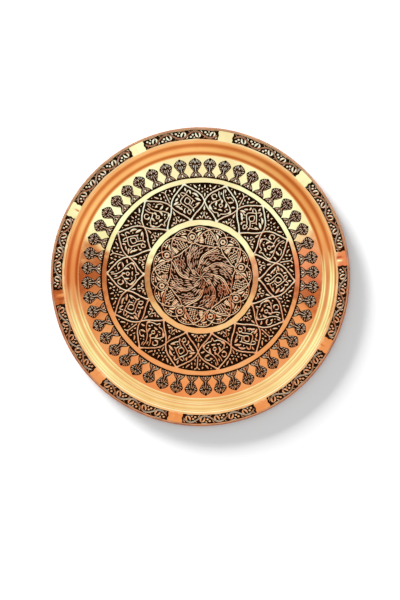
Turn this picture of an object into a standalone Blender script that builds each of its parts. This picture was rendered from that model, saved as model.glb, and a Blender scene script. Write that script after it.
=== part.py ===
"""Engraved copper tray: one sheet with a stepped well and a rolled edge, and the steel wire inside that edge.

The tray lies on its flat base. The origin is the centre of the base, +Z points up out of the well.
"""

import math

import bpy

# Driving dimensions, in metres.
TRAY_RADIUS = 0.180
SHEET = 0.0008
WIRE_RADIUS = 0.0010
WIRE_CLEARANCE = 0.0003

# The slope of the wall at each radius: flat floor, lower step, shoulder, upper step, rim.
WALL_SLOPES = (
    (0.1467, 0.0),
    (0.1490, 0.85),
    (0.1509, 0.36),
    (0.1528, 0.14),
    (0.1550, 0.20),
    (0.1570, 0.42),
    (0.1589, 0.66),
    (0.1606, 0.42),
    (0.1622, 0.16),
    (0.1632, 0.052),
    (0.1654, 0.048),
    (0.1666, 0.0),
)

# The sheet's edge is rolled round the wire, from the top of the roll, out, under and back in.
ROLL_SWEEP = math.radians(290)
ROLL_MID_RADIUS = WIRE_RADIUS + WIRE_CLEARANCE + SHEET / 2
ROLL_CENTRE_RADIUS = TRAY_RADIUS - ROLL_MID_RADIUS - SHEET / 2

# Facets.
TURN_STEPS = 72
STRETCH_POINTS = 2
ROLL_POINTS = 10
WIRE_SIDES = 8
AXIS_MERGE = 0.00001

COPPER = (0.86, 0.42, 0.20)
STEEL = (0.42, 0.40, 0.38)


def clear_scene():
    for thing in list(bpy.data.objects):
        bpy.data.objects.remove(thing, do_unlink=True)


def metal(name, colour, roughness):
    material = bpy.data.materials.new(name)
    material.use_nodes = True
    shader = material.node_tree.nodes["Principled BSDF"]
    shader.inputs["Base Color"].default_value = (*colour, 1.0)
    shader.inputs["Metallic"].default_value = 1.0
    shader.inputs["Roughness"].default_value = roughness
    return material


def wall_line(floor):
    """The wall as (radius, height) points, from the end of the flat floor to the start of the flat rim."""
    height = floor
    points = [(WALL_SLOPES[0][0], height)]
    for (start, start_slope), (end, end_slope) in zip(WALL_SLOPES, WALL_SLOPES[1:]):
        for i in range(1, STRETCH_POINTS + 1):
            radius = start + (end - start) * i / STRETCH_POINTS
            slope = start_slope + (end_slope - start_slope) * (i - 0.5) / STRETCH_POINTS
            height += slope * (end - start) / STRETCH_POINTS
            points.append((radius, height))
    return points


def sheet_middle():
    """The middle line of the sheet, as (radius, height) points from the axis to the end of the roll."""
    floor = SHEET / 2
    line = [(0.0, floor)] + wall_line(floor)
    line.append((ROLL_CENTRE_RADIUS, line[-1][1]))
    centre = roll_centre()
    for i in range(1, ROLL_POINTS + 1):
        angle = math.pi / 2 - ROLL_SWEEP * i / ROLL_POINTS
        line.append(
            (
                centre[0] + ROLL_MID_RADIUS * math.cos(angle),
                centre[1] + ROLL_MID_RADIUS * math.sin(angle),
            )
        )
    return line


def roll_centre():
    """The (radius, height) centre of the rolled edge and of the wire in it."""
    rim_top = wall_line(SHEET / 2)[-1][1]
    return (ROLL_CENTRE_RADIUS, rim_top - ROLL_MID_RADIUS)


def offset(line, distance):
    """The line moved sideways by a distance, to its left for a positive one."""
    moved = []
    for i, (radius, height) in enumerate(line):
        before = line[max(i - 1, 0)]
        after = line[min(i + 1, len(line) - 1)]
        if i == 0:
            before = (-line[1][0], line[1][1])
        along = (after[0] - before[0], after[1] - before[1])
        length = math.hypot(*along)
        moved.append((radius - distance * along[1] / length, height + distance * along[0] / length))
    return moved


def turned(name, profile, closed, material):
    """A solid of revolution about Z. The profile runs down its outer side."""
    mesh = bpy.data.meshes.new(name)
    vertices = [(radius, 0.0, height) for radius, height in profile]
    edges = [(i, i + 1) for i in range(len(profile) - 1)]
    if closed:
        edges.append((len(profile) - 1, 0))
    mesh.from_pydata(vertices, edges, [])
    mesh.materials.append(material)
    piece = bpy.data.objects.new(name, mesh)
    bpy.context.scene.collection.objects.link(piece)
    screw = piece.modifiers.new("Turn", "SCREW")
    screw.axis = "Z"
    screw.steps = TURN_STEPS
    screw.render_steps = TURN_STEPS
    screw.use_smooth_shade = True
    screw.use_merge_vertices = True
    screw.merge_threshold = AXIS_MERGE
    return piece


def tray_body():
    """The copper sheet: upper face outwards from the axis, then the lower face back to the axis."""
    middle = sheet_middle()
    upper = offset(middle, SHEET / 2)
    lower = offset(middle, -SHEET / 2)
    profile = upper + lower[::-1]
    return turned("tray_body", profile, False, metal("copper", COPPER, 0.22))


def rim_wire():
    """The steel wire that the sheet's edge is rolled round."""
    centre = roll_centre()
    profile = []
    for i in range(WIRE_SIDES):
        angle = math.pi / 2 - math.tau * i / WIRE_SIDES
        profile.append((centre[0] + WIRE_RADIUS * math.cos(angle), centre[1] + WIRE_RADIUS * math.sin(angle)))
    return turned("rim_wire", profile, True, metal("steel", STEEL, 0.45))


def main():
    clear_scene()
    tray_body()
    rim_wire()


main()
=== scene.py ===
"""Looks of the engraved copper tray.

One sheet of copper: a blackened, sunk ground with everything else standing proud of it. Plain rings and
plates keep the level of the sheet, and the engraved pattern is built from raised strokes, each a small
closed solid with a width that swells and tapers as a chisel cut does.

Angles are in degrees clockwise from +Y, seen from above. Lengths are in metres, and the half widths of
strokes in millimetres.
"""

import copy
import math

import bmesh
import bpy
import numpy as np
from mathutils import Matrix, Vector, geometry


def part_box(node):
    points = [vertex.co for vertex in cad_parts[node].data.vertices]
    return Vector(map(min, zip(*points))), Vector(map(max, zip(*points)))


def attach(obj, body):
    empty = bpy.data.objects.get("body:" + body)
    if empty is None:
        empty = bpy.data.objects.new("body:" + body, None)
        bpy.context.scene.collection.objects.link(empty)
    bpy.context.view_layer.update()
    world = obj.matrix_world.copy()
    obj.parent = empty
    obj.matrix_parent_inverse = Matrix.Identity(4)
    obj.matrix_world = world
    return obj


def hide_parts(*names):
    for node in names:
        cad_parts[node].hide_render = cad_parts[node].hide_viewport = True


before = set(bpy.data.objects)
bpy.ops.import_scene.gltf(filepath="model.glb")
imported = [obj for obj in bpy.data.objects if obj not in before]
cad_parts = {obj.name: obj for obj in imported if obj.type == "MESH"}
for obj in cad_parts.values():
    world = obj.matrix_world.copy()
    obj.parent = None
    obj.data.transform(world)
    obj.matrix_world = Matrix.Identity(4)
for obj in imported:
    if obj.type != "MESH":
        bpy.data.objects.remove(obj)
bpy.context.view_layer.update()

MM = 0.001

# ---------------- the sheet
# The CAD bodies give the size. The sheet follows the same slopes and the same roll as they do.
TRAY_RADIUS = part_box("tray_body")[1][0]
WIRE_LOW, WIRE_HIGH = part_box("rim_wire")
SHEET = 0.8 * MM
WIRE_RADIUS = (WIRE_HIGH[2] - WIRE_LOW[2]) / 2
WIRE_CLEARANCE = 0.3 * MM
ROLL_MID_RADIUS = WIRE_RADIUS + WIRE_CLEARANCE + SHEET / 2
ROLL_CENTRE_RADIUS = TRAY_RADIUS - ROLL_MID_RADIUS - SHEET / 2
ROLL_SWEEP = math.radians(290)

# The wall: (radius in millimetres, slope there). A lower step, its shoulder, an upper step and the rim.
WALL_SLOPES = (
    (146.7, 0.0), (149.0, 0.85), (150.9, 0.36), (152.8, 0.14), (155.0, 0.2), (157.0, 0.42),
    (158.9, 0.66), (160.6, 0.42), (162.2, 0.16), (163.2, 0.052), (165.4, 0.048), (166.6, 0.0),
)
WALL_RADII = [radius * MM for radius, slope in WALL_SLOPES]
WALL_START = WALL_RADII[0]
RIM_START = WALL_RADII[-1]

# The engraved ground lies this far under the face of the sheet. What stands on it starts a little deeper.
GROUND_DEPTH = 0.34 * MM
SUNK = 0.03 * MM

# ---------------- the rings, from the centre outwards
RING_A = (62.2 * MM, 68.6 * MM)
BAND = (69.1 * MM, 113.3 * MM)
RING_B = (113.9 * MM, 119.1 * MM)
PENDANT_FOOT = 120.4 * MM
PENDANT_TIP = 144.0 * MM
PLATE_EDGE = 146.4 * MM
RIM_PLATE = (164.9 * MM, 177.0 * MM)
PANEL = (165.6 * MM, 176.8 * MM)

BAND_CELLS = 14
BAND_TURN = 15.3
PENDANTS = 48
PENDANT_TURN = 4.8
PANELS = 10
PANEL_TURN = 28.2
PANEL_HALF_ANGLE = 15.35

TURN_STEPS = 288


def polar(turn, radius):
    """The point at an angle clockwise from +Y."""
    angle = np.radians(turn)
    return np.stack([radius * np.sin(angle), radius * np.cos(angle)], axis=-1)


# The slow waves of a hammered sheet: (height in millimetres, phase per metre of x and of y, start).
SHEET_WAVES = ((0.034, 61, 23, 0.7), (0.03, -37, 58, 2.1), (0.012, 118, -91, 4.0), (0.009, 141, 129, 1.3))


def sheet_wave(x, y):
    """How far the unevenness of the sheet lifts each point."""
    lift = 0
    for height, by_x, by_y, start in SHEET_WAVES:
        lift = lift + height * MM * np.sin(by_x * x + by_y * y + start)
    return lift


# The pattern was set out a little off the tray's centre. The drift dies away towards the edge of the floor.
DRIFT = (1.4 * MM, 0.9 * MM)
DRIFT_FULL = 95 * MM
FACE_SPOTS = 3601


def drifted(points):
    """The points, moved as far off the centre as the pattern is at their radius."""
    points = np.array(points, float)
    radius = np.hypot(points[:, 0], points[:, 1])
    share = np.clip((PLATE_EDGE - radius) / (PLATE_EDGE - DRIFT_FULL), 0, 1)
    points[:, 0] += DRIFT[0] * share
    points[:, 1] += DRIFT[1] * share
    return points


def sheet_face():
    """The height of the sheet's upper face, all along a radius: the sum of the wall's slopes."""
    spots = np.linspace(0, TRAY_RADIUS, FACE_SPOTS)
    slopes = np.interp(spots, WALL_RADII, [slope for radius, slope in WALL_SLOPES])
    steps = (slopes[1:] + slopes[:-1]) / 2 * np.diff(spots)
    return spots, SHEET + np.concatenate([[0], np.cumsum(steps)])


FACE = sheet_face()


def face_height(radius):
    return np.interp(radius, *FACE)


# ---------------- mesh making
def build_mesh(name, points, faces, materials, face_materials=None, faceted=False, values=None):
    """An object from world points, moved and lifted as the sheet is."""
    points = drifted(points)
    points[:, 2] += sheet_wave(points[:, 0], points[:, 1])
    mesh = bpy.data.meshes.new(name)
    mesh.from_pydata(points.tolist(), [], [list(face) for face in faces])
    for material in materials:
        mesh.materials.append(material)
    if face_materials is not None:
        mesh.polygons.foreach_set("material_index", np.asarray(face_materials, np.int32))
    mesh.polygons.foreach_set("use_smooth", np.full(len(mesh.polygons), not faceted))
    for label, numbers in (values or {}).items():
        layer = mesh.attributes.new(label, "FLOAT", "POINT")
        layer.data.foreach_set("value", np.asarray(numbers, np.float32))
    mesh.update()
    return placed(name, mesh)


def placed(name, data):
    """A new object in the scene."""
    thing = bpy.data.objects.new(name, data)
    bpy.context.scene.collection.objects.link(thing)
    return thing


def turned(name, profile, materials, span_materials=None, closed=False, sharp=50):
    """A solid of revolution. The profile is (radius, height) points that run down its outer side."""
    count = len(profile)
    turns = np.arange(TURN_STEPS) * 360 / TURN_STEPS
    points = []
    index = []
    for radius, height in profile:
        if radius == 0:
            index.append([len(points)] * TURN_STEPS)
            points.append((0.0, 0.0, height))
            continue
        index.append(list(range(len(points), len(points) + TURN_STEPS)))
        ring = polar(turns, radius)
        points.extend((x, y, height) for x, y in ring)
    faces = []
    face_materials = []
    spans = count if closed else count - 1
    for span in range(spans):
        upper = index[span]
        lower = index[(span + 1) % count]
        for i in range(TURN_STEPS):
            j = (i + 1) % TURN_STEPS
            faces.append(list(dict.fromkeys([upper[i], upper[j], lower[j], lower[i]])))
            face_materials.append(span_materials[span] if span_materials else 0)
    piece = build_mesh(name, points, faces, materials, face_materials)
    piece.data.set_sharp_from_angle(angle=math.radians(sharp))
    return piece


# ---------------- curves and strokes
PATH_STEP = 0.75 * MM
SPLINE_SAMPLES = 12
DOT_POINTS = 7
RING_POINTS = 12

# A stroke's cross-section, from its right side to its left: (side in half widths, lift).
ROUND = ((-1, 0), (-0.8, 0.93), (0, 1), (0.8, 0.93), (1, 0))
FLAT = ((-1, 0), (-0.86, 0.94), (0, 1), (0.86, 0.94), (1, 0))
# A stroke thinner than this on each side stands lower than the sheet's face.
FULL_HEIGHT_WIDTH = 0.28 * MM
THIN_STROKE_FALL = 0.6
# Leaves, drops, dots and the ends of lines are never thinner than these shares of their full width.
THINNEST = 0.08
DOT_THINNEST = 0.25
END_THINNEST = 0.1414


def curve(controls, closed=False, step=PATH_STEP, least=5):
    """Evenly spaced points along a smooth curve through the controls."""
    given = np.asarray(controls, float)
    if closed:
        padded = np.vstack([given[-1], given, given[0], given[1]])
        last = given[:1]
    else:
        padded = np.vstack([2 * given[0] - given[1], given, 2 * given[-1] - given[-2]])
        last = given[-1:]
    t = np.linspace(0, 1, SPLINE_SAMPLES, endpoint=False)[:, None]
    parts = []
    for a, b, c, d in zip(padded, padded[1:], padded[2:], padded[3:]):
        bend = (2 * a - 5 * b + 4 * c - d) * t**2 + (3 * b - a - 3 * c + d) * t**3
        parts.append(0.5 * (2 * b + (c - a) * t + bend))
    fine = np.vstack(parts + [last])
    along = np.concatenate([[0], np.cumsum(np.hypot(*np.diff(fine, axis=0).T))])
    count = max(least, round(along[-1] / step))
    where = np.linspace(0, along[-1], count + 1)
    points = np.column_stack([np.interp(where, along, fine[:, axis]) for axis in (0, 1)])
    return points[:-1] if closed else points


def line_width(t, ends):
    """Even width with round ends; ends is the share of the length that each end takes."""
    near = np.clip(np.minimum(t, 1 - t) / ends, 0, 1)
    return np.sqrt(np.clip(1 - (1 - near) ** 2, END_THINNEST**2, 1))


def leaf_width(t):
    """Widest in the middle, with a point at each end."""
    return np.clip(np.sin(np.pi * t) ** 0.8, THINNEST, 1)


def drop_width(t):
    """Round and full near its start, then drawn out to a point."""
    return np.clip(1.6 * np.sqrt(np.sin(np.pi * np.clip(t, 0, 1) ** 0.7)) * (1 - t) ** 0.6, THINNEST, 1)


class Relief:
    """The raised strokes of one zone of the pattern, built as one object.

    A stroke's width is half of what it spans, in millimetres, and is scaled by the zone's bold. Each
    stroke also carries a share of painted light, which says how brightly its copper is painted: 1 gives a
    painted highlight, 0 painted shade.
    """

    def __init__(self, name, bold=1.0):
        self.name = name
        self.bold = bold
        # Painted light: how brightly the strokes now being added are painted, as highlight or as shade.
        self.painted_light = 1.0
        self.points = []
        self.faces = []
        self.lifts = []
        self.painted_lights = []

    def stroke(self, path, widths, section=ROUND, closed=False, height=1.0):
        """A closed solid along the path, with widths in metres."""
        path = np.asarray(path, float)
        count = len(path)
        if closed:
            ahead = np.roll(path, -1, axis=0) - np.roll(path, 1, axis=0)
        else:
            ahead = np.gradient(path, axis=0)
        ahead /= np.hypot(*ahead.T)[:, None]
        left = np.column_stack([-ahead[:, 1], ahead[:, 0]])
        widths = np.broadcast_to(widths, count) * self.bold
        low = face_height(np.hypot(*path.T)) - GROUND_DEPTH
        tall = np.minimum(1, widths / FULL_HEIGHT_WIDTH) ** THIN_STROKE_FALL * height
        base = len(self.points)
        for i in range(count):
            for side, lift in section:
                x, y = path[i] + left[i] * side * widths[i]
                rise = GROUND_DEPTH * lift * tall[i] if lift else -SUNK
                self.points.append((x, y, low[i] + rise))
                self.lifts.append(lift * tall[i])
                self.painted_lights.append(self.painted_light)
        columns = len(section)
        rows = count if closed else count - 1
        for i in range(rows):
            here = base + i * columns
            there = base + ((i + 1) % count) * columns
            for j in range(columns):
                k = (j + 1) % columns
                self.faces.append((here + j, there + j, there + k, here + k))
        if not closed:
            last = base + (count - 1) * columns
            self.faces.append(tuple(base + j for j in range(columns)))
            self.faces.append(tuple(last + j for j in reversed(range(columns))))

    def line(self, controls, width, closed=False):
        """An even line through the controls."""
        path = curve(controls, closed)
        if closed:
            self.stroke(path, width * MM, closed=True)
            return
        length = np.hypot(*np.diff(path, axis=0).T).sum()
        t = np.linspace(0, 1, len(path))
        self.stroke(path, width * MM * line_width(t, width * MM / length))

    def flared(self, controls, width, end_width, reach, height):
        """A flat line that widens towards both ends, over a given length in millimetres."""
        path = curve(controls)
        gaps = np.hypot(*np.diff(path, axis=0).T)
        along = np.concatenate([[0], np.cumsum(gaps)])
        near = np.clip(1 - np.minimum(along, along[-1] - along) / (reach * MM), 0, 1)
        self.stroke(path, (width + (end_width - width) * near**2) * MM, FLAT, height=height)

    def leaf(self, controls, width):
        path = curve(controls, least=6)
        self.stroke(path, width * MM * leaf_width(np.linspace(0, 1, len(path))))

    def drop(self, controls, width):
        path = curve(controls, least=7)
        self.stroke(path, width * MM * drop_width(np.linspace(0, 1, len(path))))

    def dot(self, centre, radius):
        t = np.linspace(0, 1, DOT_POINTS)
        across = np.column_stack([-np.cos(np.pi * t), np.zeros(DOT_POINTS)])
        widths = radius * MM * np.clip(np.sin(np.pi * t), DOT_THINNEST, 1)
        self.stroke(np.asarray(centre, float) + across * (radius * MM), widths)

    def ring(self, centre, radius, width):
        turns = np.arange(RING_POINTS) * 360 / RING_POINTS
        self.stroke(np.asarray(centre) + polar(turns, radius * MM)[::-1], width * MM, closed=True)

    def build(self, copper):
        values = {"lift": self.lifts, "painted_light": self.painted_lights}
        return build_mesh(self.name, self.points, self.faces, [copper], faceted=True, values=values)


class Patch:
    """A patch of the pattern. u runs clockwise and v outwards, each from -100 to 100.

    A twist turns the patch anticlockwise towards its inner end, by so many degrees there.
    """

    def __init__(self, turn, half_angle, inner, outer, twist=0):
        self.turn = turn
        self.half_angle = half_angle
        self.middle = (inner + outer) / 2
        self.half = (outer - inner) / 2
        self.twist = twist
        self.mirror = 1

    def __call__(self, *points):
        """World points for (u, v) pairs."""
        u, v = np.asarray(points, float).reshape(-1, 2).T / 100
        turn = self.turn + self.mirror * self.half_angle * u - self.twist * (1 - v) / 2
        return polar(turn, self.middle + self.half * v)

    def sides(self):
        """The patch mirrored about its middle, and the patch itself."""
        mirrored = copy.copy(self)
        mirrored.mirror = -1
        return mirrored, self


# ---------------- the band of diamonds
# A diamond's upper right side, and the two strands that draw the sides: thin, flared where they end, and one
# standing a little higher, so that it passes over the other.
OUTLINE = [(0, 100), (13, 88), (31, 74), (45, 62), (60, 52), (76, 37), (90, 20), (100, 0)]
OUTLINE_WIDTH = 0.57
OUTLINE_END_WIDTH = 1.4
OUTLINE_FLARE = 5
OUTLINE_OVER = 1.02
OUTLINE_UNDER = 0.99
TIP = 103

# Inside the diamonds.
STRAND = 0.45
FULL_LEAF = 1.4


def band_outlines(relief):
    """Two strands that run from tip to tip and cross between the diamonds."""
    lower = [(200 - u, -v) for u, v in OUTLINE[::-1][1:-1]]
    falling = [(0, TIP)] + OUTLINE[1:] + lower + [(200, -TIP)]
    rising = [(u, -v) for u, v in falling]
    for cell in range(BAND_CELLS):
        here = Patch(BAND_TURN + cell * 360 / BAND_CELLS, 180 / BAND_CELLS, *BAND)
        for side, height in ((falling, OUTLINE_OVER), (rising, OUTLINE_UNDER)):
            relief.flared(here(*side), OUTLINE_WIDTH, OUTLINE_END_WIDTH, OUTLINE_FLARE, height)


def diamond_cell(relief, at, strands, loops, leaves, dots):
    """What stands inside a diamond. Leaves are (width, points) and dots (u, v, radius)."""
    for points in strands:
        relief.line(at(*points), STRAND)
    for points in loops:
        relief.line(at(*points), STRAND, closed=True)
    for width, *points in leaves:
        relief.leaf(at(*points), FULL_LEAF * width)
    for u, v, radius in dots:
        relief.dot(at((u, v)), radius)


def palmette_cell(relief, at):
    """A flower under two strands that open into a wide cup, with a curl on each side."""
    strands = (
        ((-4, 80), (-2, 50), (13, 24), (31, 9), (52, -6), (66, -26), (52, -43), (30, -52), (14, -56),
         (3, -72), (-7, -54), (-32, -54), (-52, -43), (-64, -24), (-56, -8), (-40, 3), (-22, 12), (-10, 24)),
        ((-28, 64), (-24, 43), (-13, 27), (-2, 14)),
        ((-33, 28), (-40, 42), (-52, 42), (-61, 29), (-52, 17), (-38, 19)),
        ((24, 38), (36, 47), (52, 43), (63, 32)))
    loops = [((0, -2), (10, -10), (0, -20), (-11, -10))]
    leaves = (
        (0.62, (0, 23), (1, 12), (0, 0)),
        (0.85, (-68, -17), (-64, -30), (-48, -45)),
        (0.75, (68, -18), (67, -30), (55, -43)),
        (0.66, (-28, 9), (-31, -6), (-28, -20)),
        (0.66, (24, 9), (31, -4), (27, -19)),
        (0.52, (-40, -33), (-30, -32), (-19, -34)),
        (0.62, (-13, -37), (2, -34), (18, -36)),
        (0.45, (36, -26), (43, -21), (51, -22)),
        (0.6, (-61, 25), (-50, 15), (-35, 20)),
        (0.62, (33, 18), (46, 19), (63, 29)),
        (0.52, (18, 42), (26, 40), (34, 35)),
        (0.6, (62, -5), (72, 2), (85, 4)),
        (0.4, (5, 60), (6, 70), (3, 83)),
        (0.42, (-17, 62), (-13, 52), (-15, 44)))
    dots = ((0, -20, 0.6), (35, -34, 0.75), (-42, -23, 0.525), (-75, -2, 0.775),
            (13, 52, 0.5625), (26, 60, 0.525), (-60, -2, 0.5))
    diamond_cell(relief, at, strands, loops, leaves, dots)


def knot_cell(relief, at):
    """Two interlaced diamonds with a small ring under them, and thick leaves all round."""
    strands = (
        ((-28, 57), (-26, 46), (-16, 36)),
        ((-25, 59), (-14, 55), (-6, 50), (12, 31), (31, 10), (31, 2), (16, -15)),
        ((31, 6), (45, 0)),
        ((2, 45), (-18, 33), (-36, 18), (-37, 3), (-19, -17), (1, -36), (-13, -49)),
        ((2, -10), (14, -22), (29, -38)),
        ((29, -38), (50, -27), (70, -11)),
        ((-18, -29), (-26, -34), (-32, -42)),
        ((2, 48), (10, 60), (19, 65)),
        ((-62, 4), (-48, -2), (-38, 3)))
    loops = (((0, 25), (16, 5), (0, -10), (-17, 5)), ((0, -42), (12, -52), (0, -66), (-13, -51)))
    leaves = (
        (0.62, (0, 60), (1, 70), (0, 82)),
        (0.58, (18, 67), (23, 56), (24, 41)),
        (0.72, (31, 47), (50, 39), (66, 21)),
        (0.8, (43, 18), (60, 12), (80, 1)),
        (0.62, (44, -17), (58, -14), (74, -7)),
        (0.55, (29, -36), (28, -46), (30, -56)),
        (0.6, (-31, -36), (-33, -46), (-28, -57)),
        (0.68, (-38, -36), (-50, -24), (-64, -13)),
        (0.68, (-52, -17), (-62, -10), (-76, -3)),
        (0.8, (-50, 12), (-66, 10), (-84, 4)),
        (0.62, (-46, 35), (-56, 28), (-68, 20)),
        (0.66, (-42, 54), (-39, 44), (-41, 33)))
    dots = [(u, v, 0.58) for u, v in ((35, 30), (31, -20), (-41, -17), (11, -43), (58, 34))]
    diamond_cell(relief, at, strands, loops, leaves, dots)


def upper_spandrel(relief, at, with_rosette):
    """The triangle that hangs from the outer ring between two diamonds."""
    for side in at.sides():
        relief.drop(side((28, 80), (24, 93)), 0.75)
        relief.drop(side((32, 60), (27, 74)), 0.65)
        relief.leaf(side((38, 70), (48, 80), (56, 93)), 0.7)
        relief.dot(side((68, 92)), 0.55)
        if with_rosette:
            relief.drop(side((9, 54), (20, 48)), 0.6)
            relief.drop(side((10, 66), (19, 74)), 0.6)
            relief.dot(side((16, 36)), 0.5)
        else:
            relief.line(side((0, 80), (6, 90), (15, 95)), 0.42)
            relief.drop(side((14, 40), (12, 54)), 0.55)
            relief.drop(side((14, 60), (11, 74)), 0.5)
    if with_rosette:
        relief.dot(at((0, 60)), 0.5)
        relief.drop(at((0, 72), (0, 92)), 0.6)
        relief.drop(at((0, 46), (0, 20)), 0.6)
    else:
        relief.line(at((0, 84), (0, 22)), 0.5)


def lower_spandrel(relief, at):
    """The triangle that stands on the inner ring between two diamonds."""
    relief.drop(at((0, -50), (0, -22)), 0.75)
    relief.line(at((0, -56), (0, -78)), 0.42)
    for side in at.sides():
        relief.drop(side((20, -62), (17, -74)), 0.7)
        relief.line(side((0, -76), (10, -84), (14, -95)), 0.42)
        relief.leaf(side((20, -94), (28, -84), (40, -82)), 0.75)
        relief.leaf(side((36, -95), (46, -90), (58, -95)), 0.65)
        relief.dot(side((11, -60)), 0.4)


def band_relief():
    relief = Relief("band_relief", bold=1.45)
    band_outlines(relief)
    half_angle = 180 / BAND_CELLS
    for cell in range(BAND_CELLS):
        turn = BAND_TURN + cell * 2 * half_angle
        at = Patch(turn, half_angle, *BAND)
        between = Patch(turn + half_angle, half_angle, *BAND)
        if cell % 2:
            knot_cell(relief, at)
        else:
            palmette_cell(relief, at)
        upper_spandrel(relief, between, cell % 2 == 1)
        lower_spandrel(relief, between)
    return relief


# ---------------- the ring of pendants
# One side of a pendant, from its foot to its tip, on its patch.
PENDANT_SIDE = ((96, 0), (90, 5), (72, 14.5), (50, 23.5), (34, 28.5), (34, 32), (45, 37), (60, 45.5),
                (76, 57), (88.5, 66.5), (84, 74.5), (69, 82.5), (45, 90), (16, 96), (0, 100))


class PendantPatch(Patch):
    """The patch of one pendant, where v runs from 0 at its foot to 100 at its tip."""

    def __init__(self, turn):
        super().__init__(turn, 180 / PENDANTS, PENDANT_FOOT, PENDANT_TIP)

    def __call__(self, *points):
        return super().__call__(*[(u, 2 * v - 100) for u, v in points])


def pendant_relief():
    """In each head a leaf over a stem and short cuts from its edge, and in each foot crossed stems."""
    relief = Relief("pendant_relief", bold=1.2)
    for number in range(PENDANTS):
        at = PendantPatch(PENDANT_TURN + number * 360 / PENDANTS)
        # Each stroke is painted lighter or darker, as highlight or shade: brightest the leaf at the foot and
        # the dots, and the rest painted darker, as shade.
        relief.painted_light = 0.35
        relief.drop(at((0, 69), (0, 88)), 0.62)
        relief.painted_light = 0.8
        relief.leaf(at((0, 3), (0, 9), (0, 20)), 1.1)
        relief.painted_light = 0.0
        relief.line(at((0, 63), (0, 31)), 0.42)
        for side in at.sides():
            relief.painted_light = 0.05
            relief.leaf(side((21, 95), (21, 85), (16, 74)), 0.46)
            relief.leaf(side((44, 90), (39, 82), (30, 72)), 0.46)
            relief.leaf(side((67, 82), (56, 76), (43, 70)), 0.46)
            relief.painted_light = 0.2
            relief.leaf(side((80, 68), (60, 65.5), (36, 63)), 0.5)
            relief.leaf(side((10, 65), (24, 59), (26, 46)), 0.5)
            relief.painted_light = 0.0
            relief.leaf(side((68, 58), (56, 54), (42, 48)), 0.4)
            relief.leaf(side((50, 46), (40, 41), (27, 34)), 0.38)
            relief.line(side((62, 3), (38, 13), (14, 23), (-12, 32)), 0.34)
            relief.leaf(side((34, 22), (54, 13), (76, 4)), 0.42)
            relief.painted_light = 0.8
            relief.dot(side((27, 5)), 0.6)
    return relief


# ---------------- the rim panels
PANEL_WAVES = 5
PANEL_REACH = 95
RIBBON_SWING = 70
RIBBON_EDGES = (-8, 12)
# The flowers stand about the ribbon's middle, at this v.
RIBBON_MIDDLE = 2
RIBBON_POINTS = 61
PANEL_ARC_POINTS = 25


def panel_outline():
    """The panel's outline in patch units, anticlockwise from its inner left corner."""
    across = np.linspace(-98.5, 98.5, PANEL_ARC_POINTS)
    inner = [(u, 5 * (1 - (u / 100) ** 2) - 100) for u in across]
    right = [(97.5, -55), (100, 0), (97.5, 55)]
    outer = [(u, 100) for u in across[::-1]]
    left = [(-u, v) for u, v in right[::-1]]
    return inner + right + outer + left


def rim_relief():
    relief = Relief("rim_relief")
    for number in range(PANELS):
        at = Patch(PANEL_TURN + number * 360 / PANELS, PANEL_HALF_ANGLE, *PANEL)
        rim_panel(relief, at, -1 if number % 2 else 1)
    return relief


def rim_panel(relief, at, first_wave):
    """A waving ribbon with a tulip in each wave. Its first wave goes out (1) or in (-1)."""
    # The ribbons are painted dark, as shade.
    relief.painted_light = 0.0
    u = np.linspace(-PANEL_REACH, PANEL_REACH, RIBBON_POINTS)
    wave = first_wave * np.sin((u / PANEL_REACH + 1) / 2 * np.pi * PANEL_WAVES)
    for edge in RIBBON_EDGES:
        relief.line(at(*zip(u, RIBBON_SWING * wave + edge)), 0.36)
    reach = at.half_angle * PANEL_REACH / 100
    middle = at.middle + at.half * RIBBON_MIDDLE / 100
    for k in range(PANEL_WAVES):
        turn = at.turn + reach * ((2 * k + 1) / PANEL_WAVES - 1)
        height = at.half * (-first_wave if k % 2 else first_wave)
        tulip(relief, Patch(turn, reach / PANEL_WAVES, middle - height, middle + height))


def tulip(relief, at):
    """Two petals and three berries painted bright, as highlights, and what fills the corners of their wave,
    painted darker, as shade.
    """
    relief.painted_light = 0.1
    relief.line(at((62, -84), (20, -92), (-40, -84)), 0.34)
    relief.line(at((-92, 86), (-70, 55), (-82, 20)), 0.34)
    relief.painted_light = 1.0
    relief.leaf(at((46, -66), (14, -22), (2, 44)), 1.35)
    relief.leaf(at((48, -66), (66, -18), (46, 36)), 1.15)
    for u, v, radius in ((-62, -46, 1.35), (-34, -4, 1.35), (-14, -58, 0.9)):
        relief.dot(at((u, v)), radius)
    relief.painted_light = 0.5
    relief.leaf(at((70, 88), (88, 62), (98, 30)), 0.7)


# ---------------- the medallion
# Eight flowers stand in loops near its edge, with a fan between each two. Inside them, everything whirls.
MEDALLION_CELLS = 8
PETALS = 6
FLOWER_TURN = 32.0
FLOWERS = (37 * MM, 62 * MM)
WHIRL = (5 * MM, 39 * MM)
WHIRL_LAG = -6.0
WHIRL_TWIST = 56.0
# The kinked lines of the whirl: the v where each starts and ends, the first one's u and the gap between
# them, how far apart the kinks are, and how far they sway in turn.
WHIRL_LINES = ((72, 6), (90, 22), (66, 10), (94, 4), (62, 6))
WHIRL_LINE_START = 46
WHIRL_LINE_GAP = 25.5
WHIRL_KINK = 14
WHIRL_SWAY = (-5.5, 7.5, -11.5, 7.5, -5.5, 1.5)
# The short cuts of the whirl: (u, inner v, outer v, width).
WHIRL_CUTS = ((56, -40, -2, 0.72), (-96, -42, -10, 0.72), (-62, -38, -4, 0.72), (-28, -42, -8, 0.66),
              (66, -74, -46, 0.66), (-74, -76, -48, 0.66), (-16, -98, -56, 0.6), (-34, 74, 98, 0.66),
              (90, 80, 100, 0.7), (44, 82, 100, 0.66))


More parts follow.
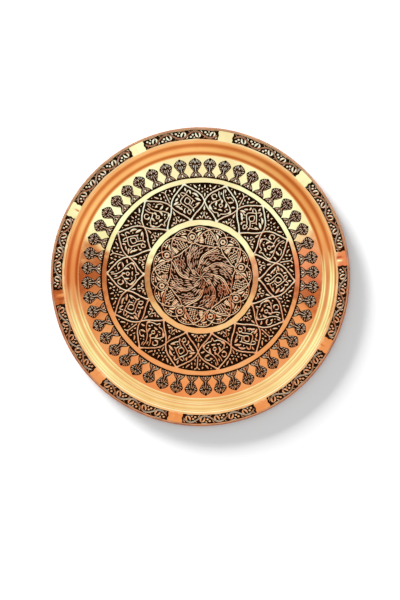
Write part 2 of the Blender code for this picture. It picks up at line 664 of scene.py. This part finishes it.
def flower_cell(relief, at):
    """A flower in its loop, the arcs that cross above it, and the leaves on each side of it."""
    # The flower, its arcs and its leaves are painted bright, as highlights.
    relief.painted_light = 0.7
    flower = at((0, -4))
    relief.ring(flower, 2.2, 0.95)
    for petal in range(PETALS):
        relief.dot(flower + polar(at.turn + petal * 360 / PETALS, 3.0 * MM), 0.6)
    relief.dot(at((0, 80)), 0.6)
    for side in at.sides():
        relief.painted_light = 0.8
        relief.line(side((100, 62), (90, 71), (72, 81), (47, 86), (24, 79), (6, 62), (-7, 50)), 0.45)
        relief.line(side((-7, 50), (17, 30), (26.5, -2), (20, -32), (4, -54)), 0.45)
        relief.line(side((-6, -70), (16, -56), (34, -30), (52, -2), (70, 28), (86, 48), (98, 60)), 0.55)
        relief.painted_light = 1.0
        relief.leaf(side((36, -16), (42, 16), (62, 40)), 1.15)
        relief.leaf(side((25, 38), (37, 48), (58, 52)), 0.9)
        relief.drop(side((31, 62), (33, 75)), 0.9)
        relief.drop(side((45, 62), (46, 78)), 1.0)
        relief.drop(side((59, 58), (59, 77)), 1.0)
        relief.drop(side((72, 58), (71, 72)), 0.9)


def fan_cell(relief, at):
    """The three-cornered field between two flowers: a hatched leaf, a stem and a lattice of dots."""
    # The fan's strokes are painted bright, as highlights.
    relief.painted_light = 0.85
    relief.ring(at((0, 64)), 1.1, 0.5)
    relief.painted_light = 1.0
    for v, half in ((-2, 5), (-17, 12), (-32, 18), (-47, 21), (-62, 17)):
        relief.leaf(at((-40 - half, v - 5), (-40, v), (half - 40, v - 5)), 0.85)
    relief.painted_light = 0.8
    relief.line(at((-7, 50), (-1, 24), (-13, 6), (-6, -14), (-16, -34), (-8, -74)), 0.5)
    relief.line(at((-26, 24), (-17, 14), (-25, 2)), 0.5)
    relief.line(at((6, 42), (17, 24), (34, 4), (54, -24)), 0.5)
    for v, count in ((16, 1), (-1, 2), (-18, 3), (-35, 3), (-52, 4), (-69, 4)):
        for k in range(count):
            relief.dot(at((5 + 14.5 * k, v)), 0.85)
    relief.leaf(at((62, -50), (68, -42), (78, -54)), 0.7)
    relief.leaf(at((-72, -62), (-66, -50), (-60, -34)), 0.7)
    relief.line(at((-88, -64), (-62, -86), (-25, -98), (5, -94), (35, -92), (62, -84), (88, -64)), 0.55)


def whirl_cell(relief, at, odd):
    """An eighth of the whirl: straps that run in to the centre, kinked lines beside them, and short cuts."""
    # Every other cell's straps are painted darker than the rest, and the kinked lines and cuts dark, as
    # painted shade.
    relief.painted_light = 0.4 if odd else 0.9
    relief.line(at((0, 104), (0, 20), (2, -62)), 0.55)
    relief.line(at((24, 100), (23, 30), (27, -38)), 0.55)
    relief.painted_light = 0.15
    for line, (outer, inner) in enumerate(WHIRL_LINES):
        u = WHIRL_LINE_START + WHIRL_LINE_GAP * line
        depths = np.linspace(outer, inner, round((outer - inner) / WHIRL_KINK) + 1)
        kinks = [(u + WHIRL_SWAY[k % len(WHIRL_SWAY)], v) for k, v in enumerate(depths)]
        relief.line(at(*kinks), 0.5)
    for u, low, high, width in WHIRL_CUTS:
        relief.leaf(at((u, low), (u + 2, (low + high) / 2), (u - 3, high)), width)
    relief.line(at((-30, 60), (-12, 72), (0, 60)), 0.45)
    relief.line(at((30, 70), (56, 84), (80, 74)), 0.45)
    relief.line(at((84, 10), (92, -14), (78, -44)), 0.45)
    relief.line(at((40, -44), (30, -66), (36, -86)), 0.45)


def medallion_relief():
    relief = Relief("medallion_relief", bold=1.2)
    pitch = 360 / MEDALLION_CELLS
    for cell in range(MEDALLION_CELLS):
        turn = FLOWER_TURN + cell * pitch
        flower_cell(relief, Patch(turn, pitch / 2, *FLOWERS))
        fan_cell(relief, Patch(turn + pitch / 2, pitch / 2, *FLOWERS))
        whirl_cell(relief, Patch(turn + WHIRL_LAG, pitch / 2, *WHIRL, twist=WHIRL_TWIST), cell % 2)
        # The small rings and the lines at the centre are painted half lit.
        relief.painted_light = 0.5
        if cell % 2:
            relief.ring(polar(turn, 34.5 * MM), 1.5, 0.6)
        else:
            relief.ring(polar(turn + 25.5, 28.5 * MM), 1.7, 0.6)
            relief.ring(polar(turn, 10.8 * MM), 1.8, 0.6)
        relief.line(polar(turn + np.array([0, 4, 14]), np.array([1.2, 5, 9.5]) * MM), 0.45)
    relief.dot((0, 0), 0.9)
    return relief


# ---------------- materials
# Two tones of each metal.
POLISHED_TONES = ((0.83, 0.325, 0.115), (0.92, 0.41, 0.165))
BROWN_EDGE_TONES = ((0.48, 0.18, 0.1), (0.66, 0.27, 0.15))
GROUND_TONES = ((0.014, 0.003, 0.001), (0.034, 0.009, 0.003))
STEEL_TONES = ((0.36, 0.34, 0.32), (0.2, 0.13, 0.09))
FOOT_OF_CUT = (0.02, 0.007, 0.0025, 1)
# The strokes: their tones where the painted light is 1, a painted highlight, and where it is 0, painted
# shade.
WORN_PAINTED_LIT = ((0.74, 0.32, 0.165), (0.88, 0.4, 0.21))
WORN_PAINTED_SHADED = ((0.5, 0.21, 0.12), (0.68, 0.3, 0.17))
WARM_PAINTED_LIT = ((0.8, 0.32, 0.15), (0.94, 0.4, 0.2))
WARM_PAINTED_SHADED = ((0.44, 0.15, 0.075), (0.62, 0.22, 0.11))


class Nodes:
    """Adds nodes to a material or a world. A node's input is a plain value or another node's output."""

    def __init__(self, owner):
        owner.use_nodes = True
        self.tree = owner.node_tree

    def feed(self, socket, value):
        if isinstance(value, bpy.types.NodeSocket):
            self.tree.links.new(value, socket)
        else:
            socket.default_value = value

    def add(self, kind, output, inputs=None, **settings):
        """An output of a new node."""
        node = self.tree.nodes.new("ShaderNode" + kind)
        for setting, value in settings.items():
            setattr(node, setting, value)
        for socket, value in (inputs or {}).items():
            self.feed(node.inputs[socket], value)
        return node.outputs[output]

    def math(self, operation, *values):
        return self.add("Math", "Value", dict(enumerate(values)), operation=operation)

    def between(self, value, start, end, low=0, high=1):
        """The value, moved from start..end to low..high and held there."""
        return self.add("MapRange", "Result", {"Value": value, "From Min": start, "From Max": end,
                                               "To Min": low, "To Max": high})

    def mixed(self, factor, a, b, blend="MIX"):
        inputs = {"Factor": factor, "A": a, "B": b}
        return self.add("Mix", "Result", inputs, data_type="RGBA", blend_type=blend)

    def graded(self, value, stops):
        """The colour at a value, from stops of (value, colour)."""
        node = self.tree.nodes.new("ShaderNodeValToRGB")
        elements = node.color_ramp.elements
        while len(elements) < len(stops):
            elements.new(0.5)
        low = stops[0][0]
        high = stops[-1][0]
        for element, (place, colour) in zip(elements, stops):
            element.position = (place - low) / (high - low)
            element.color = (*colour, 1.0)
        self.feed(node.inputs["Fac"], self.between(value, low, high))
        return node.outputs["Color"]


class Surface(Nodes):
    """A material whose noises lie in the piece's own space."""

    def __init__(self, name, metallic=1.0):
        self.material = bpy.data.materials.new(name)
        super().__init__(self.material)
        self.shader = self.tree.nodes["Principled BSDF"].inputs
        self.feed(self.shader["Metallic"], metallic)
        self.place = self.add("TexCoord", "Object")

    def noise(self, scale, detail):
        return self.add("TexNoise", "Fac", {"Vector": self.place, "Scale": scale, "Detail": detail})

    def tones(self, value, low, high, two_tones):
        return self.graded(value, ((low, two_tones[0]), (high, two_tones[1])))

    def bump(self, height, strength, distance):
        normal = self.add("Bump", "Normal", {"Height": height, "Strength": strength, "Distance": distance})
        self.feed(self.shader["Normal"], normal)

    def finished(self, colour, roughness):
        self.feed(self.shader["Base Color"], colour)
        self.feed(self.shader["Roughness"], roughness)
        return self.material


def polished_copper():
    surface = Surface("polished_copper")
    cells = {"Vector": surface.place, "Scale": 95}
    dimples = surface.add("TexVoronoi", "Distance", cells, feature="SMOOTH_F1")
    surface.bump(dimples, strength=0.05, distance=0.6 * MM)
    colour = surface.tones(surface.noise(scale=22, detail=4), 0.35, 0.68, POLISHED_TONES)
    return surface.finished(colour, surface.between(surface.noise(scale=160, detail=3), 0, 1, 0.03, 0.07))


def brown_edge_copper():
    """The rolled edge: browner and duller than the polished copper."""
    surface = Surface("brown_edge_copper")
    stains = surface.noise(scale=90, detail=4)
    colour = surface.tones(stains, 0.35, 0.65, BROWN_EDGE_TONES)
    return surface.finished(colour, surface.between(stains, 0, 1, 0.3, 0.46))


def worn_copper_and_painted_light(name, painted_lit_tones, painted_shaded_tones):
    """The tops of the strokes: copper that darkens towards the foot of each cut, and that is painted lighter
    or darker stroke by stroke, as painted highlight and shade.
    """
    surface = Surface(name)
    patches = surface.noise(scale=300, detail=3)
    painted_light = surface.add("Attribute", "Fac", attribute_name="painted_light")
    lift = surface.add("Attribute", "Fac", attribute_name="lift")
    # Painted highlight and shade: each stroke's colour mixes from its shaded tones to its lit tones by its
    # painted light.
    colour = surface.mixed(painted_light, surface.tones(patches, 0.3, 0.7, painted_shaded_tones),
                           surface.tones(patches, 0.3, 0.7, painted_lit_tones))
    colour = surface.mixed(surface.between(lift, 0.15, 0.75), FOOT_OF_CUT, colour)
    return surface.finished(colour, surface.between(patches, 0, 1, 0.05, 0.12))


def blackened_ground():
    surface = Surface("blackened_ground")
    specks = surface.noise(scale=900, detail=2)
    surface.bump(specks, strength=0.5, distance=0.2 * MM)
    return surface.finished(surface.tones(specks, 0.35, 0.75, GROUND_TONES), 0.62)


def wire_steel():
    surface = Surface("wire_steel")
    stains = surface.noise(scale=120, detail=4)
    colour = surface.tones(stains, 0.4, 0.7, STEEL_TONES)
    return surface.finished(colour, surface.between(stains, 0, 1, 0.35, 0.6))


# ---------------- the sheet and its plates
# The materials of tray_sheet, by number.
COPPER, GROUND, BROWN_EDGE = range(3)
# How far each step down to the ground leans, and how far out the sides of what stands on the ground slope.
STEP_LEAN = 0.06 * MM
SIDE_SLOPE = 0.14 * MM
# The rim's ground ends this far outside its plate, and the step up to the rolled edge leans this far.
RIM_MARGIN = 0.1 * MM
EDGE_LEAN = 0.12 * MM
# How finely each part is divided.
FLOOR_STEP = 5 * MM
WALL_STEP = 0.5 * MM
RIM_STEP = 2.5 * MM
UNDER_STEP = 3 * MM
UNDER_WALL_SPOTS = 44
ROLL_SPOTS = 30
INNER_ROLL_SPOTS = 26
WIRE_SPOTS = 16
# The underside of the wall reaches this far past the wall's slopes, at each end.
UNDER_WALL_REACH = 0.6 * MM
PENDANT_STEP = 0.6 * MM
SHARP = 30
WELD = 0.02 * MM

# A hand-cut edge strays from its circle: (strength, waves round the ring, start).
HAND_STRAY = 0.16 * MM
HAND_WAVES = ((1, 7, 0), (0.8, 19, 1.3), (0.8, 33, 4.1))


def radii(start, end, step):
    return np.linspace(start, end, max(2, round((end - start) / step) + 1))


def tray_sheet(copper, ground, brown_edge):
    """The copper sheet, with its face cut back to the ground wherever it is engraved."""
    profile = []
    kinds = []

    def add(radius, height, kind=COPPER):
        profile.append((float(radius), float(height)))
        kinds.append(kind)

    for radius in radii(0, PLATE_EDGE - STEP_LEAN, FLOOR_STEP):
        add(radius, SHEET - GROUND_DEPTH, GROUND)
    kinds[-1] = COPPER
    for radius in radii(PLATE_EDGE, RIM_PLATE[0], WALL_STEP):
        add(radius, face_height(radius))
    rim_start = RIM_PLATE[0] + STEP_LEAN
    rim_end = RIM_PLATE[1] + RIM_MARGIN
    for radius in (rim_start, *radii(rim_start + 1 * MM, rim_end, RIM_STEP)):
        add(radius, face_height(radius) - GROUND_DEPTH, GROUND)
    kinds[-1] = COPPER
    outside = ROLL_MID_RADIUS + SHEET / 2
    centre = roll_centre()
    first = math.acos((rim_end + EDGE_LEAN - centre[0]) / outside)
    last = math.pi / 2 - ROLL_SWEEP
    for angle in np.linspace(first, last, ROLL_SPOTS):
        add(*around(centre, outside, angle), BROWN_EDGE)
    for angle in np.linspace(last, math.pi / 2, INNER_ROLL_SPOTS):
        add(*around(centre, ROLL_MID_RADIUS - SHEET / 2, angle))
    for radius in radii(ROLL_CENTRE_RADIUS - 2 * MM, RIM_START + 2 * UNDER_WALL_REACH, UNDER_STEP):
        add(radius, face_height(radius) - SHEET)
    for radius, height in lower_wall():
        add(radius, height)
    for radius in radii(WALL_START - 2 * MM, 0, FLOOR_STEP):
        add(radius, 0.0)
    return turned("tray_sheet", profile, [copper, ground, brown_edge], kinds[:-1])


def around(centre, radius, angle):
    return centre[0] + radius * math.cos(angle), centre[1] + radius * math.sin(angle)


def roll_centre():
    top = float(face_height(ROLL_CENTRE_RADIUS)) - SHEET / 2
    return ROLL_CENTRE_RADIUS, top - ROLL_MID_RADIUS


def lower_wall():
    """The underside of the wall, a sheet's thickness from its face, from the rim down to the floor."""
    spots = np.linspace(RIM_START + UNDER_WALL_REACH, WALL_START - UNDER_WALL_REACH, UNDER_WALL_SPOTS)
    heights = face_height(spots)
    slope = np.gradient(heights, spots)
    length = np.hypot(1, slope)
    return [(r + SHEET * s / n, h - SHEET / n) for r, h, s, n in zip(spots, heights, slope, length)]


def ring_plate(name, inner, outer, copper):
    """A plain ring left standing at the level of the sheet, with sloped sides and hand-cut edges."""
    low = SHEET - GROUND_DEPTH - SUNK
    profile = [(inner - SIDE_SLOPE, low)]
    profile += [(float(radius), SHEET) for radius in radii(inner, outer, 2 * MM)]
    profile.append((outer + SIDE_SLOPE, low))
    piece = turned(name, profile, [copper], closed=True, sharp=SHARP)
    spots = [(vert, vert.co.xy.length, math.atan2(vert.co.x, vert.co.y)) for vert in piece.data.vertices]
    for vert, radius, angle in spots:
        across = min(max((radius - inner) / (outer - inner), 0), 1)
        # The two edges stray at different places.
        stray = (1 - across) * hand_cut(angle + inner / MM) + across * hand_cut(angle - outer / MM)
        vert.co.xy *= 1 + stray / radius
    return piece


def hand_cut(angle):
    """How far a hand-cut edge strays from its circle."""
    return HAND_STRAY * sum(size * math.sin(waves * angle + start) for size, waves, start in HAND_WAVES)


def inside(point, outline):
    """Whether a point lies inside a closed outline."""
    x, y = point
    hit = False
    for (x1, y1), (x2, y2) in zip(outline, np.roll(outline, -1, axis=0)):
        if (y1 > y) != (y2 > y) and x < (x2 - x1) * (y - y1) / (y2 - y1) + x1:
            hit = not hit
    return hit


def sector_triangles(outlines, grid):
    """Spots and triangles that fill the first outline, but not the holes that the others leave in it."""
    flat = [Vector(point) for outline in outlines for point in outline]
    flat += [Vector(point) for point in grid]
    edges = []
    start = 0
    for outline in outlines:
        edges += [(start + i, start + (i + 1) % len(outline)) for i in range(len(outline))]
        start += len(outline)
    found = geometry.delaunay_2d_cdt(flat, edges, [], 0, 1e-7)
    spots = np.array([tuple(spot) for spot in found[0]])
    triangles = []
    for face in found[2]:
        middle = spots[list(face)].mean(axis=0)
        if inside(middle, outlines[0]) and not any(inside(middle, hole) for hole in outlines[1:]):
            triangles.append(face)
    return spots, triangles


def plate_object(name, spots, triangles, copies, copper):
    """Turned copies of a flat sector, welded along their seams, with a skirt down every open edge."""
    bm = bmesh.new()
    for number in range(copies):
        angle = math.tau * number / copies
        turn = np.array([[math.cos(angle), -math.sin(angle)], [math.sin(angle), math.cos(angle)]])
        verts = [bm.verts.new((x, y, float(face_height(math.hypot(x, y))))) for x, y in spots @ turn]
        for face in triangles:
            bm.faces.new([verts[i] for i in face])
    bmesh.ops.remove_doubles(bm, verts=bm.verts, dist=WELD)
    for face in bm.faces:
        if face.normal.z < 0:
            face.normal_flip()
    add_skirt(bm)
    bmesh.ops.recalc_face_normals(bm, faces=bm.faces)
    bm.verts.index_update()
    points = [vert.co[:] for vert in bm.verts]
    faces = [[vert.index for vert in face.verts] for face in bm.faces]
    bm.free()
    piece = build_mesh(name, points, faces, [copper])
    piece.data.set_sharp_from_angle(angle=math.radians(SHARP))
    return piece


def add_skirt(bm):
    """A sloped side that runs down into the ground from every open edge."""
    open_edges = [edge for edge in bm.edges if edge.is_boundary]
    made = bmesh.ops.extrude_edge_only(bm, edges=open_edges)
    outward = {}
    for edge in open_edges:
        start, end = edge.verts
        along = (end.co - start.co).normalized()
        away = start.co - edge.link_faces[0].calc_center_median()
        away -= along * away.dot(along)
        away.z = 0
        for vert in edge.verts:
            outward[vert] = outward.get(vert, Vector((0, 0, 0))) + away.normalized()
    for vert in made["geom"]:
        if isinstance(vert, bmesh.types.BMVert):
            linked = [edge.other_vert(vert) for edge in vert.link_edges]
            above = min((other for other in linked if other in outward),
                        key=lambda other: (other.co - vert.co).length)
            vert.co += outward[above].normalized() * SIDE_SLOPE
            vert.co.z -= GROUND_DEPTH + SUNK


def sector_grid(turn, half_angle, inner, outer, step):
    """Inner points for a sector's triangles, clear of its edges."""
    points = []
    for radius in radii(inner + step / 2, outer - step / 2, step):
        count = max(2, round(math.radians(2 * half_angle) * radius / step))
        for k in range(count):
            points.append(tuple(polar(turn - half_angle + 2 * half_angle * (k + 0.5) / count, radius)))
    return points


def pendant_plate(copper):
    """The plain copper round the pendants: everything between their outlines."""
    half = 180 / PENDANTS
    turn = PENDANT_TURN + half
    left = PendantPatch(turn - half)
    right = PendantPatch(turn + half).sides()[0]
    rising_left, rising_right = (curve(side(*PENDANT_SIDE), step=PENDANT_STEP) for side in (left, right))
    outer = polar(np.linspace(turn - half, turn + half, 7), PLATE_EDGE)
    boundary = np.vstack([rising_right[::-1], rising_left, outer])
    grid = sector_grid(turn, half, PENDANT_TIP, PLATE_EDGE, 2 * MM)
    return plate_object("pendant_plate", *sector_triangles([boundary], grid), PENDANTS, copper)


def rim_plate(copper):
    """The plain copper of the rim, with a hole for each panel."""
    half = 180 / PANELS
    across = np.linspace(PANEL_TURN - half, PANEL_TURN + half, 30)
    boundary = np.vstack([polar(across[::-1], RIM_PLATE[1]), polar(across, RIM_PLATE[0])])
    panel = Patch(PANEL_TURN, PANEL_HALF_ANGLE, *PANEL)(*panel_outline())
    grid = sector_grid(PANEL_TURN, half, *RIM_PLATE, 3 * MM)
    return plate_object("rim_plate", *sector_triangles([boundary, panel], grid), PANELS, copper)


def edge_wire(steel):
    centre = roll_centre()
    turns = [math.pi / 2 - math.tau * k / WIRE_SPOTS for k in range(WIRE_SPOTS)]
    profile = [around(centre, WIRE_RADIUS, turn) for turn in turns]
    return turned("edge_wire", profile, [steel], closed=True)


# ---------------- light, floor and camera
VIEW_HEIGHT = 720 * MM
CAMERA_DISTANCE = 1.6
CAMERA_TILT = math.radians(4)
LOOK_AT = Vector((-0.24, -26.4, 10)) * MM
FLOOR_REACH = 6.0
FLOOR_GAP = 0.1 * MM
LIGHT_PLACE = Vector((-1.9, 2.3, 0.44))
LIGHT_SIZE = (1.6, 0.5)
LIGHT_RADIANCE = 210.0


def make_camera():
    data = bpy.data.cameras.new("camera")
    data.sensor_width = 36
    data.lens = data.sensor_width * CAMERA_DISTANCE / VIEW_HEIGHT
    data.clip_start = 0.05
    camera = placed("camera", data)
    camera.location = LOOK_AT + CAMERA_DISTANCE * Vector((0, math.sin(CAMERA_TILT), math.cos(CAMERA_TILT)))
    camera.rotation_euler = (-CAMERA_TILT, 0, 0)
    bpy.context.scene.camera = camera


def make_floor():
    paper = Surface("floor_paper", metallic=0.0)
    mesh = bpy.data.meshes.new("floor")
    corners = ((-1, -1), (1, -1), (1, 1), (-1, 1))
    mesh.from_pydata([(x * FLOOR_REACH, y * FLOOR_REACH, 0) for x, y in corners], [], [(0, 1, 2, 3)])
    mesh.materials.append(paper.finished((0.9, 0.9, 0.9, 1), 0.9))
    floor = placed("floor", mesh)
    floor.location.z = -FLOOR_GAP


def make_light():
    """A low light beside the tray, which isn't mirrored."""
    data = bpy.data.lights.new("low_light", "AREA")
    data.shape = "RECTANGLE"
    data.size, data.size_y = LIGHT_SIZE
    data.energy = math.pi * data.size * data.size_y * LIGHT_RADIANCE
    light = placed("low_light", data)
    light.location = LIGHT_PLACE
    light.rotation_euler = (-LIGHT_PLACE).to_track_quat("-Z", "Y").to_euler()
    light.visible_camera = False
    light.visible_glossy = False


# The room as the copper mirrors it. Overhead it turns about what the tray's centre mirrors, as turned metal
# shows it: (how far round from +Y, in degrees, colour), on the right and on the left.
MIRRORED_CENTRE = 0.052
RIGHT_ROUND = ((0, (1.12, 2.3, 3.2)), (20, (1.13, 2.45, 3.5)), (42, (1.16, 2.75, 4.0)),
               (67, (1.16, 2.7, 3.8)), (75, (1.02, 1.1, 1.3)), (84, (1.07, 1.2, 1.6)),
               (89, (0.92, 0.75, 0.95)), (95, (0.52, 0.38, 0.32)), (100, (0.54, 0.4, 0.32)),
               (106, (0.92, 0.92, 0.8)), (112, (1.03, 1.25, 1.25)), (140, (1.06, 1.4, 1.5)),
               (162, (1.09, 1.4, 1.55)), (180, (1.09, 1.25, 1.25)))
LEFT_ROUND = ((0, (1.12, 2.3, 3.2)), (20, (1.13, 2.45, 3.5)), (42, (1.16, 2.75, 4.0)),
              (69, (1.16, 2.7, 3.7)), (75, (1.05, 1.45, 1.6)), (80, (0.6, 0.48, 0.35)),
              (90, (0.48, 0.33, 0.25)), (98, (0.52, 0.38, 0.3)), (104, (0.86, 0.85, 0.75)),
              (110, (1.03, 1.35, 1.4)), (125, (1.05, 1.45, 1.6)), (150, (1.05, 1.2, 1.2)),
              (180, (1.09, 1.25, 1.25)))
# The lower part of it is yellower near the centre and redder farther out.
LOWER_TINT = ((0.036, (1.0, 1.15, 1.2)), (0.062, (1.0, 0.95, 0.94)), (0.088, (0.93, 0.62, 0.48)))
CENTRE_COLOUR = (1.09, 1.32, 1.4, 1)
# Farther off the zenith: (how far, colour). Bright towards +Y, warm and dark towards -Y, with dark sides.
BRIGHT_SIDE = ((0.12, (1.15, 2.7, 3.9)), (0.18, (0.96, 1.1, 1.0)), (0.3, (1.05, 1.45, 1.4)),
               (0.52, (1.12, 1.9, 2.1)), (0.7, (1.03, 1.55, 1.5)), (0.86, (0.95, 1.3, 1.15)),
               (0.94, (0.9, 1.1, 0.95)))
BRIGHT_FLANKS = ((0.12, (1.15, 2.7, 3.9)), (0.18, (1.0, 1.4, 1.3)), (0.32, (1.1, 1.8, 1.9)),
                 (0.52, (1.15, 2.7, 3.3)), (0.74, (1.15, 2.6, 3.1)), (0.86, (0.98, 1.5, 1.35)),
                 (1.0, (0.92, 1.15, 1.0)))
DARK_SIDE = ((0.14, (1.0, 0.95, 0.75)), (0.23, (1.12, 1.5, 1.35)), (0.4, (1.12, 1.28, 1.08)),
             (0.57, (1.0, 0.95, 0.75)), (0.75, (0.8, 0.62, 0.4)), (0.9, (0.68, 0.46, 0.23)),
             (1.0, (0.6, 0.38, 0.2)))
LEFT_SHADE = ((66, (1, 1, 1)), (78, (0.86, 0.62, 0.58)), (90, (0.78, 0.54, 0.48)), (102, (0.86, 0.66, 0.62)),
              (114, (0.88, 0.78, 0.72)), (150, (0.8, 0.72, 0.64)), (180, (0.97, 0.96, 0.94)))
RIGHT_SHADE = ((66, (1, 1, 1)), (78, (0.86, 0.62, 0.58)), (90, (0.78, 0.54, 0.48)),
               (102, (0.86, 0.62, 0.58)), (114, (1, 1, 1)))
SKYLINE_TURN = math.radians(7)
# What lights the floor, and is seen behind it.
PLAIN_LIGHT = (0.66, 0.66, 0.66, 1)


def make_world():
    """The mirrored room, which only mirrors show, and a plain light for everything else."""
    world = bpy.data.worlds.new("studio")
    nodes = Nodes(world)
    direction = nodes.add("TexCoord", "Generated")

    def along(*axis):
        return nodes.add("VectorMath", "Value", {0: direction, 1: axis}, operation="DOT_PRODUCT")

    def tinted(colour, tint):
        return nodes.mixed(1.0, colour, tint, "MULTIPLY")

    up = along(0, 0, 1)
    toward_x = along(1, 0, 0)
    tilt = nodes.math("SINE", nodes.math("ARCCOSINE", up))
    centred_y = nodes.math("ADD", along(0, 1, 0), MIRRORED_CENTRE)
    turn = nodes.math("DEGREES", nodes.math("ARCTAN2", toward_x, centred_y))
    turned_by = nodes.math("ABSOLUTE", turn)
    squares = [nodes.math("POWER", part, 2.0) for part in (toward_x, centred_y)]
    from_centre = nodes.math("SQRT", nodes.math("ADD", *squares))
    is_right = nodes.between(turn, -0.01, 0.01)
    is_lower = nodes.between(turned_by, 70, 80)

    near = nodes.mixed(is_right, nodes.graded(turned_by, LEFT_ROUND), nodes.graded(turned_by, RIGHT_ROUND))
    near = nodes.mixed(is_lower, near, tinted(near, nodes.graded(from_centre, LOWER_TINT)))
    near = nodes.mixed(nodes.between(from_centre, 0.008, 0.02), CENTRE_COLOUR, near)
    flank = nodes.between(nodes.math("ABSOLUTE", toward_x), 0.3, 0.65)
    bright = nodes.mixed(flank, nodes.graded(tilt, BRIGHT_SIDE), nodes.graded(tilt, BRIGHT_FLANKS))
    skyline = along(-math.sin(SKYLINE_TURN), math.cos(SKYLINE_TURN), 0)
    far = nodes.mixed(nodes.between(skyline, -0.12, 0.02), nodes.graded(tilt, DARK_SIDE), bright)
    shade = nodes.mixed(is_right, nodes.graded(turned_by, LEFT_SHADE), nodes.graded(turned_by, RIGHT_SHADE))
    is_left = nodes.math("SUBTRACT", 1.0, is_right)
    unshaded = nodes.math("MULTIPLY", nodes.between(tilt, 0.5, 0.6), is_left)
    unshaded = nodes.math("MULTIPLY", unshaded, nodes.between(turned_by, 112, 98))
    far = nodes.mixed(unshaded, tinted(far, shade), far)
    mirrored = nodes.mixed(nodes.between(up, 0.98, 0.991), far, near)
    is_mirrored = nodes.add("LightPath", "Is Glossy Ray")
    background = nodes.tree.nodes["Background"].inputs["Color"]
    nodes.feed(background, nodes.mixed(is_mirrored, PLAIN_LIGHT, mirrored))
    bpy.context.scene.world = world


# ---------------- assembly
def main():
    copper = polished_copper()
    worn_and_lit = worn_copper_and_painted_light("worn_copper_and_painted_light", WORN_PAINTED_LIT, WORN_PAINTED_SHADED)
    warm = worn_copper_and_painted_light("warm_copper", WARM_PAINTED_LIT, WARM_PAINTED_SHADED)

    sheet = tray_sheet(copper, blackened_ground(), brown_edge_copper())
    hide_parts("tray_body")
    wire = edge_wire(wire_steel())
    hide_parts("rim_wire")
    pieces = [
        sheet,
        ring_plate("inner_ring", *RING_A, copper),
        ring_plate("outer_ring", *RING_B, copper),
        pendant_plate(copper),
        rim_plate(copper),
        medallion_relief().build(warm),
        band_relief().build(worn_and_lit),
        pendant_relief().build(worn_and_lit),
        rim_relief().build(worn_and_lit),
    ]
    for piece in pieces:
        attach(piece, "root")
    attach(wire, "root")
    make_floor()
    make_world()
    make_light()
    make_camera()
    bpy.context.scene.view_settings.view_transform = "Standard"


main()
